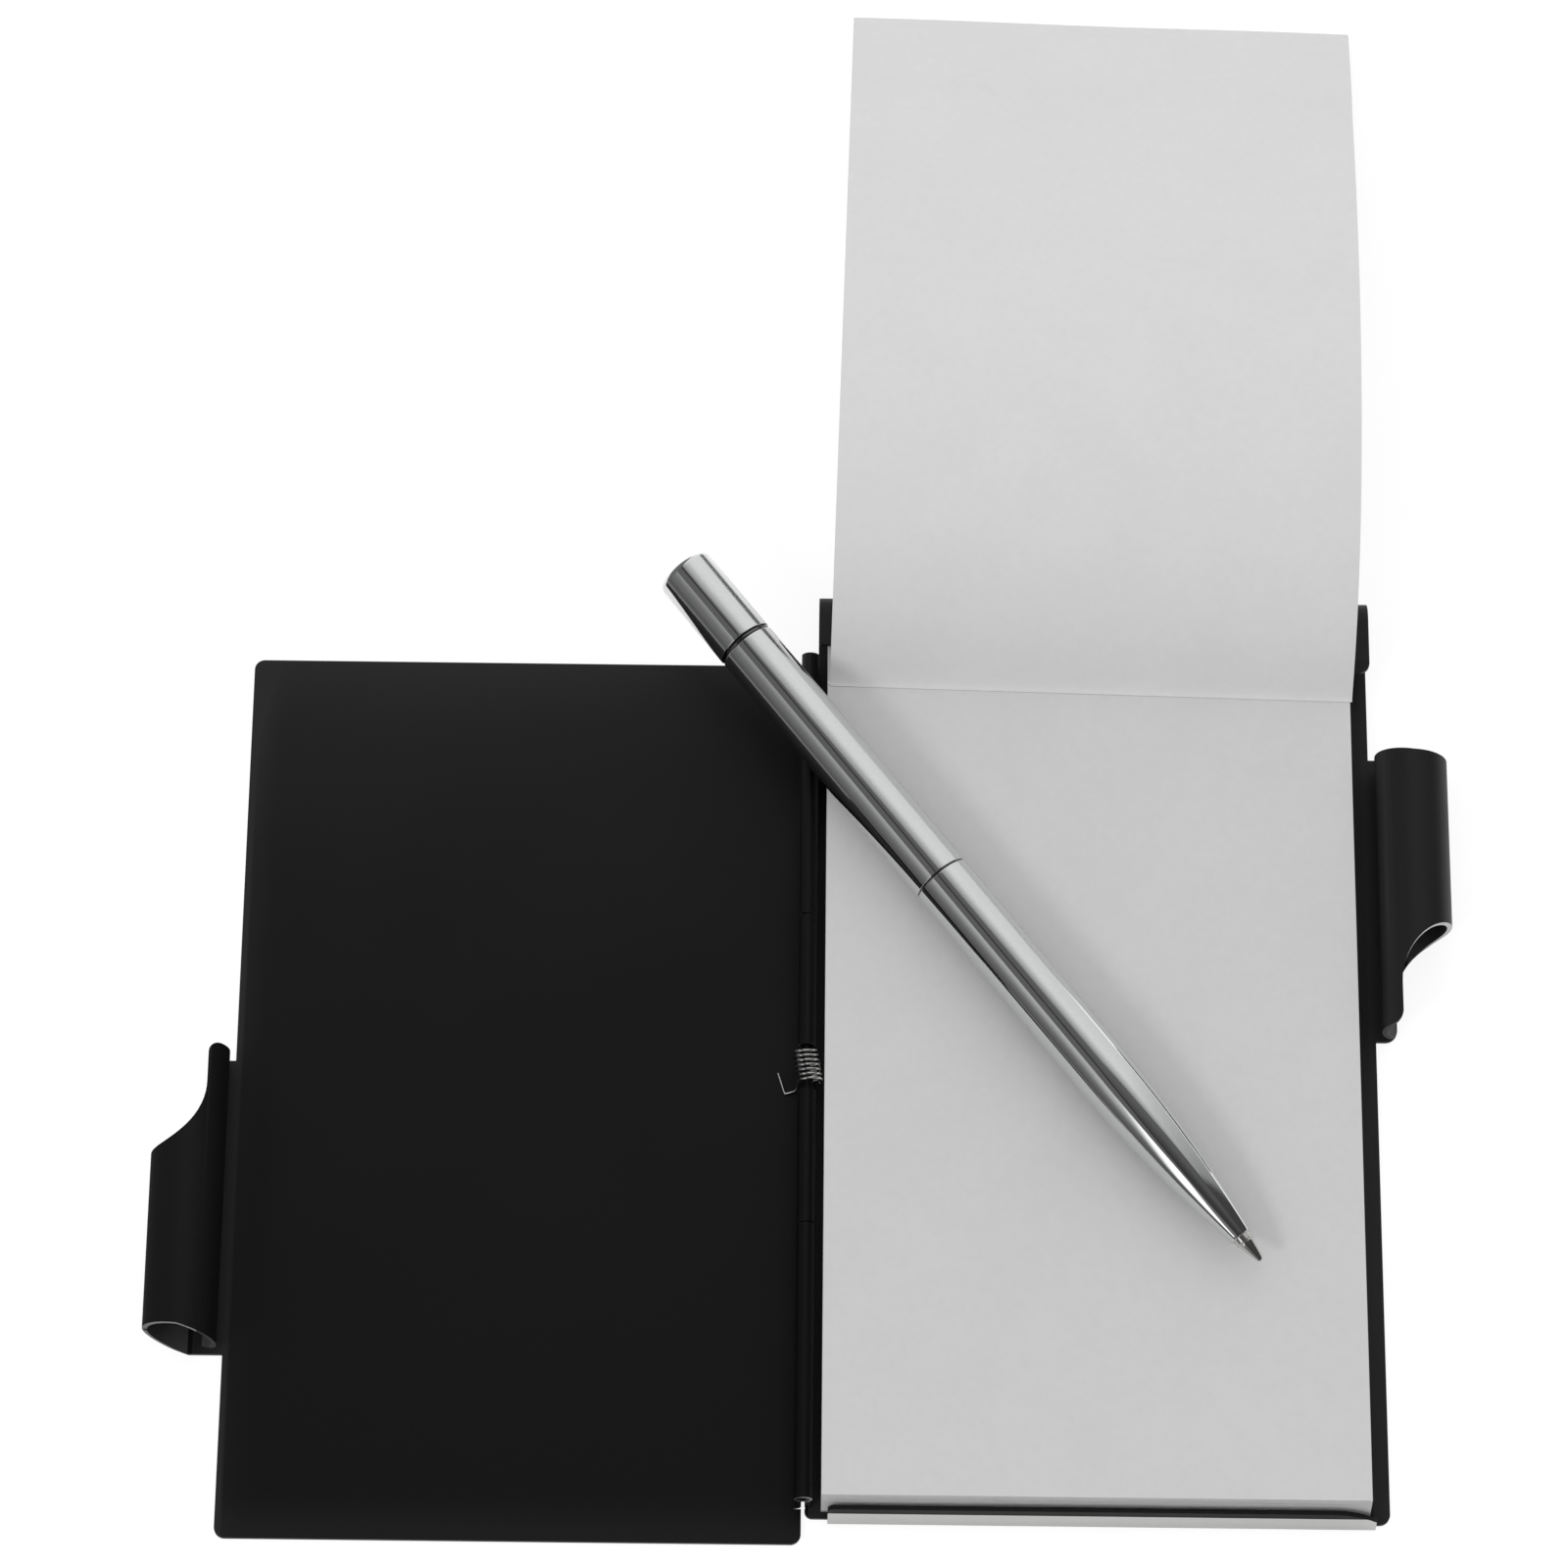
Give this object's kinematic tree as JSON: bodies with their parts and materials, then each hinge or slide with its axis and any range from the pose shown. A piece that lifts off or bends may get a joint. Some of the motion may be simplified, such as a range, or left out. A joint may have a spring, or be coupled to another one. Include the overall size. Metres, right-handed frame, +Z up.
{
  "type": "pocket notepad case",
  "caption": "Flat sheet-metal pocket case on a sprung rolled hinge, holding a paper pad under a clamp, with tubes for its twist pen.",
  "frame": {"origin": "centre of the back leaf's underside, on the surface that the case lies on", "axes": "+X across the leaves, away from the hinge; +Y along the hinge, towards the head of the pad; +Z up"},
  "size_m": [0.1506, 0.1962, 0.0169],
  "materials": {
    "case_back": "satin black lacquer",
    "case_cover": "satin black lacquer",
    "pin_steel": "bright drawn wire",
    "spring_steel": "bright spring wire",
    "card": "grey board",
    "paper": "plain white writing paper",
    "glue": "dried padding glue",
    "page": "plain white writing paper",
    "pen_lower": "polished chrome plate",
    "pen_upper": "polished chrome plate",
    "cap": "polished chrome plate",
    "ring": "dull dark metal",
    "joint": "dull dark metal",
    "collar": "turned brass",
    "slotted": "turned brass",
    "helix": "turned brass",
    "holder": "natural moulded plastic",
    "refill": "drawn brass tube",
    "point": "nickel silver",
    "ball": "ground carbide"
  },
  "bodies": {
    "back_case": {"back_shell": "case_back", "hinge_pin": "pin_steel", "torsion_spring": "spring_steel", "pad_card": "card", "paper_block": "paper", "pad_glue": "glue"},
    "cover": {"front_cover": "case_cover"},
    "page": {"turned_sheet": "page"},
    "pen_body": {"pen_lower_barrel": "pen_lower", "joint_ring": "joint", "thread_collar": "collar", "slotted_tube": "slotted"},
    "pen_top": {"pen_upper_barrel": "pen_upper", "pen_cap": "cap", "pen_cap_ring": "ring", "helix_sleeve": "helix"},
    "refill": {"refill_holder": "holder", "refill_tube": "refill", "refill_point": "point", "writing_ball": "ball"}
  },
  "joints": [
    {"name": "cover_hinge", "type": "hinge", "parent": "back_case", "child": "cover", "pos_m": [-0.0333, 0, 0.00425], "axis": [0, 1, 0], "range_deg": [0, 180], "stiffness_Nm_per_rad": 0.005, "deforming": ["torsion_spring"]},
    {"name": "page_turn", "type": "hinge", "parent": "back_case", "child": "page", "pos_m": [0, 0.0441, 0.0049], "axis": [1, 0, 0], "range_deg": [0, 180], "deforming": ["turned_sheet"]},
    {"name": "pen_lift", "type": "slide", "parent": "back_case", "child": "pen_body", "axis": [0, 0, 1], "range_m": [0, 0.19]},
    {"name": "pen_twist", "type": "hinge", "parent": "pen_body", "child": "pen_top", "pos_m": [-0.0333, 0.0381, 0.00889], "axis": [0.6211, -0.7837, -0.0079], "range_deg": [0, 180]},
    {"name": "refill_slide", "type": "slide", "parent": "pen_body", "child": "refill", "axis": [-0.6211, 0.7837, 0.0079], "range_m": [0, 0.0045]}
  ],
  "couplings": [
    {"joint": "page_turn", "follows": "cover_hinge", "ratio": 1},
    {"joint": "pen_lift", "follows": "cover_hinge", "m_per_rad": 0.06},
    {"joint": "pen_twist", "follows": "refill_slide", "rad_per_m": 698.13}
  ]
}
